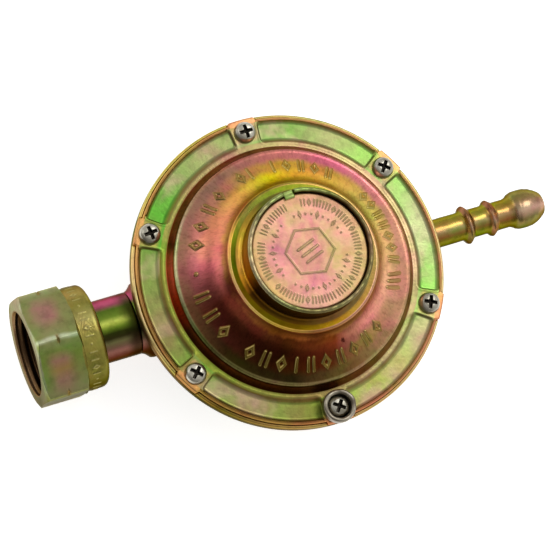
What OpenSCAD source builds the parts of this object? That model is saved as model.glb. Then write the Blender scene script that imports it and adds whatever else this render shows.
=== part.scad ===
// Low-pressure gas cylinder regulator.
// +X runs from the inlet nut to the hose barb, +Z runs up the diaphragm axis through the cap.
// The origin is on the diaphragm axis in the flat underside of the body.

/* [Body and cover] */
// Height of the inlet and outlet axis above the underside
axis_z = 15; // [14.9:0.1:15.2]
// Outer radius of the clamped flange
flange_r = 37.4; // [37.2:0.1:37.6]
// Height of the joint face between body and cover
split_z = 25.2; // [25.1:0.1:25.3]
// Radius of the circle of cover screws
screw_pitch_r = 34; // [33.8:0.1:34.1]
// Radius of the cover's neck
neck_r = 14.6; // [14.4:0.1:14.8]
// Height of the neck's rim
rim_z = 47.8; // [47.6:0.1:48.2]
// Depth of the six pockets in the cover's flange
pocket_depth = 0.6; // [0.4:0.1:1.1]

/* [Inlet nut] */
// Width of the hexagon across its flats
nut_af = 25; // [24.8:0.1:25.4]
// Radius of the threaded bore
nut_bore_r = 10.03; // [9.95:0.01:10.1]
// Turn of the hexagon about its axis, in degrees
nut_turn = 2; // [0:1:8]

/* [Hose barb] */
// Radius of the barb's shaft
barb_r = 3.54; // [3.4:0.02:3.56]
// Largest radius of the bulb
bulb_r = 4.75; // [4.6:0.05:4.9]

/* [Mechanism] */
// Mean radius of the main spring
spring_r = 8.2; // [8:0.1:8.3]
// Radius of the spring wire
wire_r = 0.5; // [0.4:0.05:0.65]
// Number of coils
coils = 6; // [5:1:7]

/* [Hidden] */
$fn = 96;
gold = [0.74, 0.66, 0.36];
olive = [0.60, 0.60, 0.36];
silver = [0.74, 0.73, 0.68];
land_z = split_z + 2;
cup_angle = 270;
// the body's rim stands round the cover, and the cover's six lugs reach out through it
rim_in_r = flange_r - 0.62;
rim_top_z = split_z + 1.2;
cover_r = flange_r - 0.8;
pivot_x = -13;
pivot_z = 10;
// the lever's turn from valve closed to valve open
open_deg = 10.57;
lift = 2.4;

function arc(cx, cy, r, a0, a1, n) = [for (i = [0:n]) [cx + r * cos(a0 + (a1 - a0) * i / n), cy + r * sin(a0 + (a1 - a0) * i / n)]];

// a profile of [radius, x] points turned about the inlet and outlet axis
module turned_x(points) {
  translate([0, 0, axis_z]) rotate([0, 90, 0]) rotate_extrude() polygon(points);
}
module rod_x(r, x0, x1) {
  translate([x0, 0, axis_z]) rotate([0, 90, 0]) cylinder(r = r, h = x1 - x0);
}
module at_screws(which) {
  for (a = which) rotate([0, 0, a]) translate([screw_pitch_r, 0, 0]) children();
}
all_screws = [30, 90, 150, 210, 270, 330];
open_screws = [30, 90, 150, 210, 330];

// ---- lower casting: bowl, flange, inlet and outlet bosses, lever posts ----
module body_casting() {
  color(gold) difference() {
    union() {
      difference() {
        union() {
          // bowl and flange
          rotate_extrude() polygon(concat(
            [[0, 0], [19, 0]], arc(19, 1.5, 1.5, -90, -30, 3),
            [[26.5, 10], [30.2, 17.6], [30.8, split_z - 2.7]], arc(flange_r - 0.4, split_z - 1.9, 0.4, -90, 0, 4),
            [[flange_r, split_z], [0, split_z]]));
          // screw bosses under the flange
          at_screws(all_screws) translate([0, 0, 19.5]) cylinder(r = 2.4, h = 4.5);
          // inlet boss with a flared mouth
          turned_x(concat([[0, -28], [9, -28], [9, -35]], arc(9.4, -37, 2, 100, 172, 6), [[7.4, -37.3], [0, -37.3]]));
          // outlet boss
          rod_x(6.4, 27, 36.3);
        }
        // chamber
        translate([0, 0, 0]) rotate_extrude() polygon([[0, 2.4], [17, 2.4], [24, 10], [28.4, 18.5], [28.4, split_z + 1], [0, split_z + 1]]);
      }
      // rim round the cover, open at the cover's lugs
      difference() {
        rotate_extrude() polygon([[rim_in_r, split_z - 1], [flange_r, split_z - 1], [flange_r, rim_top_z - 0.25], [flange_r - 0.2, rim_top_z], [rim_in_r, rim_top_z]]);
        at_screws(all_screws) translate([2, -3.3, 0]) cube([3, 6.6, 5 + split_z]);
      }
      // the part of each boss that stands in the chamber
      rod_x(6.3, -29.5, -20);
      rod_x(5.6, 22, 28);
      // posts for the lever pin
      for (s = [-1, 1]) translate([pivot_x - 2, s > 0 ? 3.2 : -6.2, 2]) cube([4, 3, 10.2]);
      // ribs that stop the diaphragm's fall
      for (a = [45, 135, 225, 315]) rotate([0, 0, a]) translate([17, -0.9, 10.6]) cube([7.8, 1.8, 11.36]);
    }
    // seat of the diaphragm's rim
    translate([0, 0, split_z - 0.8]) cylinder(r = 31.55, h = 2);
    // chamber again, above the ribs and bosses
    translate([0, 0, 21.97]) cylinder(r = 28.4, h = 5);
    // inlet passage, socket of the nipple and seat of the nozzle
    rod_x(5.52, -41, -28.5);
    rod_x(2.4, -30, -20);
    rod_x(3.02, -24.6, -19);
    rod_x(4.1, -20.9, -19);
    // outlet passage and socket of the barb
    rod_x(barb_r + 0.02, 26, 37);
    rod_x(2.4, 20, 30);
    // blind screw holes
    at_screws(all_screws) translate([0, 0, 20]) cylinder(r = 1.47, h = 6);
    // bore of the lever pin
    translate([pivot_x, -7, pivot_z]) rotate([-90, 0, 0]) cylinder(r = 1.01, h = 14);
  }
}

// one pocket of the cover's flange: a ring sector with round corners
module pocket(a0, a1, r0, r1, rc) {
  d0 = asin(rc / (r0 + rc));
  d1 = asin(rc / (r1 - rc));
  function on(r, a) = [r * cos(a), r * sin(a)];
  function corner(r, a, b0, b1) = [for (i = [0:5]) on(r, a) + on(rc, b0 + (b1 - b0) * i / 5)];
  linear_extrude(height = 3) polygon(concat(
    [for (i = [1:23]) on(r1, a0 + d1 + (a1 - a0 - 2 * d1) * i / 24)],
    corner(r1 - rc, a1 - d1, a1 - d1, a1 + 90),
    corner(r0 + rc, a1 - d0, a1 + 90, a1 - d0 + 180),
    [for (i = [1:23]) on(r0, a1 - d0 - (a1 - a0 - 2 * d0) * i / 24)],
    corner(r0 + rc, a0 + d0, a0 + d0 + 180, a0 + 270),
    corner(r1 - rc, a0 + d1, a0 + 270, a0 + d1 + 360)));
}

// ---- cover: flange, domed cone, neck with a rim ----
module bonnet() {
  ridge_z = 40.3;
  // the hollow curve of the dome: an arc about a point outside and above it
  bell_x = 30.91;
  bell_z = 43.54;
  bell_r = 13.7;
  color(gold) difference() {
    rotate_extrude() polygon(concat(
      [[26.6, split_z]], [[flange_r - 0.05, split_z]],
      arc(flange_r - 0.45, land_z - 0.4, 0.4, 0, 90, 5),
      [[29.6, land_z], [29.35, land_z + 0.12], [28.15, 29.7]],
      arc(27.3, 29.45, 0.9, 20, 75, 4),
      arc(bell_x, bell_z, bell_r, 254.5, 198.5, 10),
      arc(17.25, ridge_z - 0.6, 0.6, 20, 100, 4),
      arc(neck_r + 1.6, ridge_z + 1.75, 1.6, 270, 180, 6),
      arc(neck_r - 0.45, rim_z - 0.45, 0.45, 0, 90, 4),
      [[13.75, rim_z], [13.6, rim_z - 0.2], [13.6, 45.2], [12.35, 45.2], [12.35, 38.2], [16, 38.2]],
      arc(bell_x, bell_z, bell_r + 1.9, 201.5, 253.5, 8)));
    // pockets between the screws
    for (i = [0:5]) translate([0, 0, land_z - pocket_depth]) pocket(-24.4 + 60 * i, 24.4 + 60 * i, 31, 35.9, 0.9);
    // the flange's edge steps in between the lugs
    difference() {
      translate([0, 0, split_z - 1]) cylinder(r = 39, h = 5);
      translate([0, 0, split_z - 2]) cylinder(r = cover_r, h = 7);
      at_screws(all_screws) translate([0, -3.2, split_z - 2]) cube([6, 6.4, 7]);
    }
    // screw holes
    at_screws(all_screws) translate([0, 0, split_z - 1]) cylinder(r = 1.65, h = 6);
    // notch in the rim for the disc's tab
    rotate([0, 0, 93]) translate([13.2, -1.3, rim_z - 1.6]) cube([3, 2.6, 3]);
    // breather hole
    rotate([0, 0, -78]) translate([20.7, 0, 29]) cylinder(r = 0.5, h = 12);
  }
}

// ---- tamper disc staked into the neck ----
module cap_disc() {
  color([0.80, 0.66, 0.56]) {
    rotate_extrude() polygon(concat([[0, 45.2], [13.5, 45.2]], arc(13.1, 46.1, 0.4, 0, 90, 3), [[0, 46.5]]));
    rotate([0, 0, 93]) translate([12.6, -1.2, rim_z - 1.6]) cube([1.85, 2.4, 1.1]);
  }
}

// a pan head with a cross recess and its shank, its underside at z = 0
module pan_screw(shank) {
  difference() {
    union() {
      rotate_extrude() polygon(concat([[0, 0], [2.6, 0], [2.6, 0.65]], arc(1.5, 0.65, 1.1, 0, 62, 5), [[1.1, 1.72], [0, 1.78]]));
      translate([0, 0, -shank]) cylinder(r = 1.45, h = shank + 0.2);
    }
    for (a = [0, 90]) rotate([0, 0, a]) translate([-1.5, -0.38, 0.75]) cube([3, 0.76, 2]);
    translate([0, 0, 0.55]) cylinder(r = 0.7, h = 2);
  }
}

// ---- six identical cover screws, the sixth standing in the tamper cup ----
module bonnet_screws() {
  color(silver) {
    at_screws(open_screws) translate([0, 0, land_z]) pan_screw(7);
    at_screws([cup_angle]) translate([0, 0, land_z + 0.6]) pan_screw(7);
  }
}

// ---- tamper cup with a rolled lip ----
module seal_cup() {
  color([0.45, 0.42, 0.37]) at_screws([cup_angle]) rotate_extrude() polygon(concat(
    [[1.6, land_z], [3.7, land_z], [3.9, land_z + 0.2], [3.9, land_z + 2.3]],
    arc(3.35, land_z + 2.4, 0.55, 10, 180, 8),
    [[2.95, land_z + 2.1], [2.95, land_z + 0.6], [1.6, land_z + 0.6]]));
}

// ---- swivelling inlet nut ----
module union_nut() {
  rh = nut_af / 2 / cos(30);
  color(olive) translate([0, 0, axis_z]) rotate([nut_turn, 0, 0]) translate([0, 0, -axis_z]) difference() {
    union() {
      intersection() {
        translate([-63.1, 0, axis_z]) rotate([0, 90, 0]) cylinder(r = rh, h = 10.8, $fn = 6);
        turned_x([[0, -63.1], [12.9, -63.1], [rh + 0.1, -62.2], [rh + 0.1, -53.1], [12.9, -52.3], [0, -52.3]]);
      }
      // round collar
      turned_x(concat([[0, -53], [12.3, -53]], arc(10.8, -48.3, 1.5, 0, 90, 5), [[0, -46.8]]));
    }
    // threaded bore, run-out groove and the hole that turns on the nipple
    rod_x(nut_bore_r, -64, -56.2);
    rod_x(10.3, -56.25, -51.5);
    rod_x(7.55, -52, -46);
    turned_x([[0, -63.6], [10.75, -63.6], [10.45, -63.1], [10.02, -62.6], [0, -62.6]]);
    // notches round the corners, the mark of a left-hand thread
    turned_x([[13.5, -57.7], [16, -56.6], [16, -58.8]]);
  }
}

// ---- inlet nipple ----
module inlet_nipple() {
  color(olive) difference() {
    turned_x([[0, -54.6], [8.5, -54.6], [8.8, -54.3], [8.8, -51.9], [8.5, -51.6], [7.47, -51.6], [7.47, -37.3], [5.5, -37.3], [5.5, -28.9], [5.1, -28.5], [0, -28.5]]);
    rod_x(3.2, -56, -28);
    rod_x(4.4, -56, -52.6);
  }
}

module inlet_gasket() {
  color([0.08, 0.08, 0.08]) difference() {
    rod_x(8.4, -56.15, -54.6);
    rod_x(4.9, -57, -54);
  }
}

// gauze disc in a pressed ring
module inlet_filter() {
  color([0.72, 0.60, 0.34]) {
    difference() { rod_x(4.38, -54.2, -52.6); rod_x(3.7, -55, -52.9); rod_x(3.2, -53, -52); }
    difference() {
      rod_x(3.75, -53.4, -53.1);
      for (a = [0:60:300]) translate([-54, 1.9 * cos(a), axis_z + 1.9 * sin(a)]) rotate([0, 90, 0]) cylinder(r = 0.5, h = 2);
      rod_x(0.5, -54, -53);
    }
  }
}

module inlet_nozzle() {
  color([0.78, 0.62, 0.30]) difference() {
    union() {
      turned_x([[0, -24.5], [2.7, -24.5], [3, -24.2], [3, -20], [0, -20]]);
      translate([-20, 0, axis_z]) rotate([0, 90, 0]) cylinder(r = 4.4, h = 1.5, $fn = 6);
      turned_x([[0, -18.6], [2.2, -18.6], [1.5, -17], [1.1, -16.5], [0, -16.5]]);
    }
    rod_x(1.5, -25, -18.5);
    rod_x(0.6, -19, -16);
  }
}

module nozzle_oring() {
  color([0.07, 0.07, 0.07]) translate([-20.45, 0, axis_z]) rotate([0, 90, 0]) rotate_extrude() translate([3.58, 0]) circle(r = 0.44, $fn = 24);
}

// ---- the lever, drawn with the valve closed and turned about its pin to the open rest position ----
module about_pin() {
  translate([pivot_x, 0, pivot_z]) rotate([0, open_deg, 0]) translate([-pivot_x, 0, -pivot_z]) children();
}
module lever() {
  color([0.72, 0.70, 0.62]) about_pin() difference() {
    union() {
      translate([0, 2.6, 0]) rotate([90, 0, 0]) linear_extrude(height = 5.2) polygon([[-14.1, 9], [-13.1, 8.6], [-13.1, 19.27], [-11, 19.46], [-11, 20.46], [-14.1, 20.18]]);
      translate([0, 1.5, 0]) rotate([90, 0, 0]) linear_extrude(height = 3) polygon([[-11.5, 19.42], [-0.925, 20.4], [-0.925, 21.4], [-11.5, 20.41]]);
      translate([-0.925, -1.5, 20.9]) rotate([-90, 0, 0]) cylinder(r = 0.9, h = 3);
      translate([pivot_x, -2.6, pivot_z]) rotate([-90, 0, 0]) cylinder(r = 1.9, h = 5.2);
    }
    translate([pivot_x, -4, pivot_z]) rotate([-90, 0, 0]) cylinder(r = 1.06, h = 8);
    rod_x(1.02, -15, -12);
  }
}
module pad_holder() {
  color([0.78, 0.62, 0.30]) about_pin() difference() {
    turned_x([[0, -16], [3.2, -16], [3.2, -14.1], [1, -14.1], [1, -13.1], [1.7, -13.1], [1.5, -12.5], [0, -12.5]]);
    rod_x(2.5, -17, -15.05);
  }
}
module valve_pad() {
  color([0.08, 0.08, 0.08]) about_pin() rod_x(2.49, -16.46, -15.05);
}
module lever_pin() {
  color(silver) translate([pivot_x, -6.1, pivot_z]) rotate([-90, 0, 0]) cylinder(r = 1, h = 12.2);
}

// ---- diaphragm, hanging down to the open rest position ----
module diaphragm() {
  color([0.12, 0.12, 0.12]) rotate_extrude() polygon([
    [2.26, split_z - 3.2], [21, split_z - 3.2], [22, split_z - 3.1], [26.6, split_z - 0.95], [27.8, split_z - 0.8], [31.5, split_z - 0.8], [31.5, split_z],
    [27.6, split_z], [26.3, split_z - 0.2], [21.7, split_z - 2.3], [20.8, split_z - 2.4], [2.26, split_z - 2.4]]);
}
module diaphragm_plate() {
  color([0.75, 0.72, 0.55]) rotate_extrude() polygon([
    [2.2, 22.83], [18.9, 22.83], [19.3, 23.0], [19.6, 24.6], [18.9, 24.6], [18.6, 23.6], [10.3, 23.6], [10.1, 25.0], [9.4, 25.0], [9.2, 23.6], [2.2, 23.6]]);
}
module diaphragm_washer() {
  color([0.75, 0.72, 0.55]) rotate_extrude() polygon([[2.2, 21.2], [8.2, 21.2], [8.5, 21.4], [8.5, 21.97], [2.2, 21.97]]);
}
module diaphragm_stem() {
  color([0.78, 0.62, 0.30]) difference() {
    rotate_extrude() polygon([[0, 16], [2.9, 16], [3.2, 16.3], [3.2, 20.9], [2.9, 21.2], [2.2, 21.2], [2.2, 23.6], [3.4, 23.6], [3.2, 24.2], [2.2, 24.7], [0, 24.8]]);
    translate([-5, -1.7, 17.45]) cube([10, 3.4, 2.1]);
  }
}

// ---- main spring: a round wire swept along a helix with closed ends ----
spring_z0 = 23.62;
spring_z1 = 38.48;
module main_spring() {
  n = 22;
  k = 8;
  steps = n * coils;
  run = spring_z1 - spring_z0 - 2 * wire_r;
  end_rise = 2 * wire_r + 0.03;
  function rise(u) = u < 1 ? end_rise * u : u > coils - 1 ? run - end_rise * (coils - u) : end_rise + (run - 2 * end_rise) * (u - 1) / (coils - 2);
  pts = [for (i = [0:steps]) for (j = [0:k - 1])
    let(a = 360 * i / n, b = 360 * j / k, r = spring_r + wire_r * cos(b))
      [r * cos(a), r * sin(a), spring_z0 + wire_r + rise(i / n) + wire_r * sin(b)]];
  faces = concat(
    [[for (j = [0:k - 1]) j]],
    [for (i = [0:steps - 1]) for (j = [0:k - 1]) [i * k + j, (i + 1) * k + j, (i + 1) * k + (j + 1) % k, i * k + (j + 1) % k]],
    [[for (j = [k - 1:-1:0]) steps * k + j]]);
  color([0.66, 0.66, 0.64]) polyhedron(points = pts, faces = faces, convexity = 10);
}

module spring_seat() {
  color([0.75, 0.72, 0.55]) rotate_extrude() polygon([[0, 38.5], [10.4, 38.5], [10.6, 38.7], [10.6, 39.7], [0, 39.7]]);
  color([0.75, 0.72, 0.55]) rotate_extrude() polygon([[0, 36.9], [6.6, 36.9], [7.0, 37.3], [7.0, 38.6], [0, 38.6]]);
}
module adjusting_screw() {
  color([0.82, 0.80, 0.74]) difference() {
    rotate_extrude() polygon(concat([[0, 39.8], [11.7, 39.8]],
      [for (i = [0:2]) each [[12.3, 40.2 + i * 1.25], [12.3, 40.75 + i * 1.25], [11.8, 41.05 + i * 1.25], [11.8, 41.15 + i * 1.25]]],
      [[12.3, 43.7], [11.9, 44], [0, 44]]));
    translate([0, 0, 41.4]) cylinder(r = 4.04, h = 4, $fn = 6);
  }
}

// ---- hose barb ----
module outlet_barb() {
  color(gold) difference() {
    turned_x(concat(
      [[0, 26], [barb_r, 26], [barb_r, 47.6], [4.1, 48.1], [4.72, 48.65], [4.72, 48.95], [4.1, 49.5], [barb_r, 50],
       [barb_r, 54.0], [4.0, 54.5], [4.5, 55.0], [4.5, 55.3], [4.0, 55.8], [barb_r, 56.3],
       [barb_r, 60.3], [3.9, 60.8], [4.4, 61.4], [4.66, 62.2], [bulb_r, 63.0], [bulb_r, 64.6]],
      [[4.62, 65.6], [4.3, 66.7], [3.75, 67.8], [3.2, 68.6], [2.75, 69.1], [2.45, 69.3], [0, 69.3]]));
    rod_x(2.2, 25, 70);
  }
}

body_casting();
bonnet();
cap_disc();
bonnet_screws();
seal_cup();
union_nut();
inlet_nipple();
outlet_barb();
inlet_gasket();
inlet_filter();
inlet_nozzle();
nozzle_oring();
valve_pad();
pad_holder();
lever();
lever_pin();
diaphragm();
diaphragm_plate();
diaphragm_washer();
diaphragm_stem();
main_spring();
spring_seat();
adjusting_screw();
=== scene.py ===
import math
import bpy
import numpy as np
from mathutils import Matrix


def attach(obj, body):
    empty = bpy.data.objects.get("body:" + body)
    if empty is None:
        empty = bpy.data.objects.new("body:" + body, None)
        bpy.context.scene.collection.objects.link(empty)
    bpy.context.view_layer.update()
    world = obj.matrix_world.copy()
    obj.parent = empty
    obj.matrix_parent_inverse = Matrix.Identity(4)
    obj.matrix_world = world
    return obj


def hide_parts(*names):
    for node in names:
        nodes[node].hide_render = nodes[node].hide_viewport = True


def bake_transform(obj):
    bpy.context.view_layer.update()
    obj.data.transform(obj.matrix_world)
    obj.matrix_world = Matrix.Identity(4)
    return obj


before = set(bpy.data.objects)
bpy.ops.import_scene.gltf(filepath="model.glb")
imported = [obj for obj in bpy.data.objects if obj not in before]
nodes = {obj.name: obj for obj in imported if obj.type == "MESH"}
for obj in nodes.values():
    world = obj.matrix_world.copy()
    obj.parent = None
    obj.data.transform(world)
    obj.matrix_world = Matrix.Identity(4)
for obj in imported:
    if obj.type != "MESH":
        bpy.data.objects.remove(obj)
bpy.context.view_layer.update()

MM = 0.001
AX = 15.0          # height of the inlet and outlet axis, mm


# ------------------------------------------------------------------ mesh tools
def arc(cx, cy, r, a0, a1, n):
    return [(cx + r * math.cos(math.radians(a0 + (a1 - a0) * i / n)),
             cy + r * math.sin(math.radians(a0 + (a1 - a0) * i / n))) for i in range(n + 1)]


def refine(points, steps):
    """Points along a polyline, no further apart than steps(mid point)."""
    out = [points[0]]
    for a, b in zip(points[:-1], points[1:]):
        a, b = np.array(a, float), np.array(b, float)
        n = max(1, int(math.ceil(np.linalg.norm(b - a) / steps((a + b) / 2))))
        out += [tuple(a + (b - a) * i / n) for i in range(1, n + 1)]
    return out


def sstep(x, a, b):
    t = np.clip((x - a) / (b - a), 0, 1)
    return t * t * (3 - 2 * t)


def mesh_object(name, verts, quads, tris=(), attrs=None, sharp=None):
    """One mesh object from arrays in millimetres."""
    verts = np.asarray(verts, np.float64) * MM
    quads = np.asarray(quads, np.int64).reshape(-1, 4)
    tris = np.asarray(tris, np.int64).reshape(-1, 3)
    me = bpy.data.meshes.new(name)
    me.vertices.add(len(verts))
    me.vertices.foreach_set("co", verts.astype(np.float32).ravel())
    me.loops.add(quads.size + tris.size)
    me.loops.foreach_set("vertex_index", np.concatenate([quads.ravel(), tris.ravel()]).astype(np.int32))
    me.polygons.add(len(quads) + len(tris))
    starts = np.concatenate([np.arange(len(quads)) * 4, quads.size + np.arange(len(tris)) * 3])
    me.polygons.foreach_set("loop_start", starts.astype(np.int32))
    me.update(calc_edges=True)
    me.validate()
    me.polygons.foreach_set("use_smooth", np.ones(len(me.polygons), bool))
    for key, value in (attrs or {}).items():
        at = me.attributes.new(key, "FLOAT", "POINT")
        at.data.foreach_set("value", np.asarray(value, np.float32).ravel())
    ob = bpy.data.objects.new(name, me)
    bpy.context.scene.collection.objects.link(ob)
    if sharp:
        me.set_sharp_from_angle(angle=math.radians(sharp))
    return ob


def grid_faces(nu, nv, wrap_u, wrap_v, base=0, flip=False):
    i = np.arange(nu if wrap_u else nu - 1)
    j = np.arange(nv if wrap_v else nv - 1)
    I, J = np.meshgrid(i, j, indexing="ij")
    a = I * nv + J
    b = ((I + 1) % nu) * nv + J
    c = ((I + 1) % nu) * nv + (J + 1) % nv
    d = I * nv + (J + 1) % nv
    q = np.stack([a, b, c, d], -1).reshape(-1, 4) + base
    return q[:, ::-1] if flip else q


def revolve(name, profile, n, axis="z", shape=None, closed=True, attrs=None, sharp=None, centre=(0, 0)):
    """A turned piece. profile holds (radius, height) points, or (x, radius) about the inlet axis. shape(R, H, T) may change both."""
    pr = np.array(profile, float)
    T = np.arange(n) * 2 * math.pi / n
    if axis == "z":
        R = np.repeat(pr[:, :1], n, 1)
        H = np.repeat(pr[:, 1:], n, 1)
    else:
        H = np.repeat(pr[:, :1], n, 1)
        R = np.repeat(pr[:, 1:], n, 1)
    TT = np.repeat(T[None, :], len(pr), 0)
    extra = {}
    if shape:
        got = shape(R, H, TT)
        R, H = got[0], got[1]
        if len(got) > 2:
            extra = got[2]
    if axis == "z":
        P = np.stack([centre[0] + R * np.cos(TT), centre[1] + R * np.sin(TT), H], -1)
    else:
        P = np.stack([H, -R * np.sin(TT), AX + R * np.cos(TT)], -1)
    verts = P.reshape(-1, 3)
    area = np.sum(pr[:, 0] * np.roll(pr[:, 1], -1) - np.roll(pr[:, 0], -1) * pr[:, 1])
    flip = (area > 0) if axis == "z" else (area < 0)
    tris = []
    if closed:
        quads = grid_faces(len(pr), n, True, True, flip=flip)
    else:
        quads = grid_faces(len(pr), n, False, True, flip=flip)
        caps, extra_v = [], []
        for row, inward in ((0, False), (len(pr) - 1, True)):
            centre_p = verts[row * n:(row + 1) * n].mean(0)
            k = len(verts) + len(extra_v)
            extra_v.append(centre_p)
            j = np.arange(n)
            a, b = row * n + j, row * n + (j + 1) % n
            t = np.stack([a, b, np.full(n, k)], -1)
            if inward != flip:
                t = t[:, ::-1]
            tris.append(t)
        verts = np.concatenate([verts, np.array(extra_v)])
        tris = np.concatenate(tris)
        extra = {k: np.concatenate([np.asarray(v, float).ravel(), np.zeros(2)]) for k, v in extra.items()}
    ob = mesh_object(name, verts, quads, tris, extra, sharp)
    return ob


def joined(name, parts, body, stands_for=None):
    """Several meshes as one piece on a body."""
    if len(parts) > 1:
        with bpy.context.temp_override(active_object=parts[0], selected_editable_objects=parts, selected_objects=parts, object=parts[0]):
            bpy.ops.object.join()
    ob = parts[0]
    ob.name = name
    ob.data.name = name
    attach(ob, body)
    if stands_for:
        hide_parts(*stands_for)
    return ob


# ------------------------------------------------------------------ signed distances for the raised marks, mm
def d_box(u, v, a, b, r=0.0):
    qx, qy = np.abs(u) - a + r, np.abs(v) - b + r
    return np.hypot(np.maximum(qx, 0), np.maximum(qy, 0)) + np.minimum(np.maximum(qx, qy), 0) - r


def d_seg(u, v, x0, y0, x1, y1, w):
    dx, dy = x1 - x0, y1 - y0
    t = np.clip(((u - x0) * dx + (v - y0) * dy) / (dx * dx + dy * dy), 0, 1)
    return np.hypot(u - x0 - t * dx, v - y0 - t * dy) - w


def mark(kind, u, v, h, w, s):
    """Distance to a plain pattern h high, w wide and s thick. None of them is a letter."""
    a, b = w / 2, h / 2
    if kind == "pair":
        return np.minimum(d_seg(u, v, -a * .55, -b + s, -a * .55, b - s, s), d_seg(u, v, a * .55, -b + s, a * .55, b - s, s))
    if kind == "lozenge":
        k = np.abs(u) / (a * 1.05) + np.abs(v) / b - 1
        return np.abs(k * (a * b / math.hypot(a, b)) + s) - s
    if kind == "slants":
        return np.minimum(d_seg(u, v, -a * .8, -b + s, -a * .1, b - s, s), d_seg(u, v, a * .1, -b + s, a * .8, b - s, s))
    if kind == "dots":
        d = np.full(u.shape, 9.0)
        for y in (-.7 * b, 0, .7 * b):
            for x in (-.5 * a, .5 * a):
                d = np.minimum(d, np.hypot(u - x, v - y) - s * 1.25)
        return d
    if kind == "bar":
        return d_seg(u, v, 0, -b + s, 0, b - s, s)
    return np.hypot(u, v) - s * 1.6   # "dot"


def wrap_deg(a):
    return (a + 180) % 360 - 180


def ring_of_marks(T_deg, V, radius, marks, h, s):
    """Distance field of marks set round a ring. V is the distance outwards from the ring's middle."""
    d = np.full(T_deg.shape, 9.0)
    for kind, at, w in marks:
        du = wrap_deg(T_deg - at)
        near = np.abs(du) * math.pi / 180 * radius < w + 1
        if near.any():
            u = du[near] * math.pi / 180 * radius
            d[near] = np.minimum(d[near], mark(kind, u, V[near], h, w, s))
    return d


# ------------------------------------------------------------------ bonnet
SCREWS = [30, 90, 150, 210, 270, 330]
CUP = 270
LAND, SPLIT, RIM = 27.2, 25.2, 47.8

outer = ([(26.6, SPLIT), (31, SPLIT), (36.0, SPLIT), (37.05, SPLIT)] + arc(37.05, SPLIT + 0.3, 0.3, -90, 0, 3)
         + arc(36.93, LAND - 0.42, 0.42, 0, 90, 6)
         + [(35.9, LAND), (31.0, LAND), (29.62, LAND)] + arc(29.62, LAND + 0.2, 0.2, 270, 207, 3)
         + [(28.18, 29.62)] + arc(27.3, 29.45, 0.9, 12, 75, 7)
         + arc(30.91, 43.54, 13.7, 254.5, 194.8, 42) + arc(17.2, 39.95, 0.42, 15, 100, 6)
         + arc(16.1, 41.95, 1.55, 262, 180, 9) + arc(14.15, 47.35, 0.45, 0, 90, 5)
         + [(13.75, RIM), (13.62, RIM - 0.1), (13.6, 47.0), (13.6, 45.3), (13.4, 45.2), (12.35, 45.2), (12.35, 38.4), (16, 38.2)]
         + arc(30.91, 43.54, 15.6, 201.5, 253.5, 8))


def bonnet_step(m):
    r, z = m
    if z > 43 and r < 15:
        return 0.6
    if z < 26 or r < 14 or (r < 26.6 and z < 29.5) or z < 0.67 * (46 - r) - 3:
        return 3.0
    if 21.0 < r < 26 and z > 29.9:
        return 0.19
    if z > 27.1 and z < 27.3 and (30.4 < r < 31.5 or 35.4 < r < 36.1):
        return 0.14
    if r > 30.4 and z > 27.1:
        return 0.5
    return 0.6


def clean(points):
    out = [points[0]]
    for p in points[1:]:
        if math.dist(p, out[-1]) > 1e-3:
            out.append(p)
    return out


bonnet_profile = refine(clean(outer), bonnet_step)

dome_marks = []
for kind, at in zip(("pair", "lozenge", "lozenge", "pair", "pair", "lozenge", "lozenge"), (-13, -6, 1, 7.5, 14, 21, 27.5)):
    dome_marks.append((kind, at, 2.1))
for kind, at in zip(("pair", "lozenge", "pair", "lozenge", "bar"), (51.5, 60, 68, 76.5, 84.5)):
    dome_marks.append((kind, at, 2.0))
for kind, at in zip(("bar", "lozenge"), (98.5, 104.5)):
    dome_marks.append((kind, at, 2.1))
for kind, at in zip(("lozenge", "pair", "lozenge", "lozenge"), (121, 131, 142, 153)):
    dome_marks.append((kind, at, 2.3))
dome_marks.append(("dot", 169.5, 1.0))
for kind, at in zip(("pair", "pair", "lozenge"), (183, 194.5, 205.5)):
    dome_marks.append((kind, at, 2.3))
for kind, at in zip(("lozenge", "pair", "lozenge", "bar", "pair", "lozenge", "pair", "lozenge", "pair", "lozenge"),
                    (224, 233.5, 243, 251.5, 260, 269, 278, 287, 296.5, 306)):
    dome_marks.append((kind, at, 2.3))
for at in (330.5, 334.5, 338.5):
    dome_marks.append(("stroke", at, 1.6))


def stroke_field(T_deg, V, radius, d):
    for at in (330.5, 334.5, 338.5):
        u = wrap_deg(T_deg - at) * math.pi / 180 * radius
        d = np.minimum(d, d_seg(u, V, -0.55, -1.7, 0.55, 1.7, 0.36))
    return d


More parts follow.
